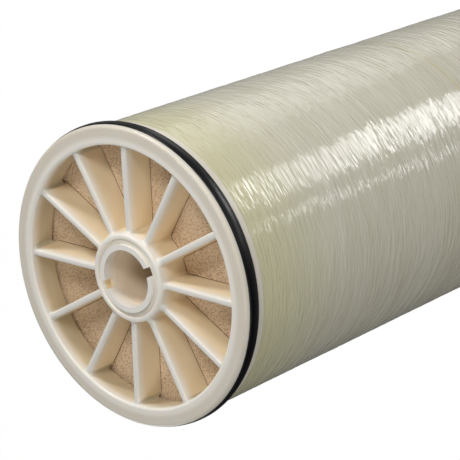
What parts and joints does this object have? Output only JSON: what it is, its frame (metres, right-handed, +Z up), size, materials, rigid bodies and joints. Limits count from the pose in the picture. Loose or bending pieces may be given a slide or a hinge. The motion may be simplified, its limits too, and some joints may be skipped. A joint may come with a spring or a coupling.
{
  "type": "reverse osmosis membrane element",
  "caption": "Spiral-wound reverse osmosis membrane element with spoked end caps, a brine seal, a glass fibre shell and a central permeate tube.",
  "frame": {"origin": "centre of the concentrate end cap's rim face, on which the element stands", "axes": "+Z up the permeate tube from the concentrate end to the feed end; +X through the middle of a flow window between two spokes"},
  "size_m": [0.2032, 0.2032, 1.016],
  "materials": {
    "end_cap_plastic": "moulded ABS, satin ivory",
    "seal_rubber": "black EPDM, smooth and slightly shiny",
    "shell_resin": "wound glass fibre in glossy resin",
    "membrane_leaves": "edge of the wound membrane, feed spacer and permeate carrier",
    "tube_plastic": "off-white extruded plastic, satin"
  },
  "bodies": {
    "root": {"feed_end_cap": "end_cap_plastic", "concentrate_end_cap": "end_cap_plastic", "brine_seal": "seal_rubber", "fibreglass_shell": "shell_resin", "membrane_roll": "membrane_leaves", "permeate_tube": "tube_plastic"}
  },
  "joints": []
}
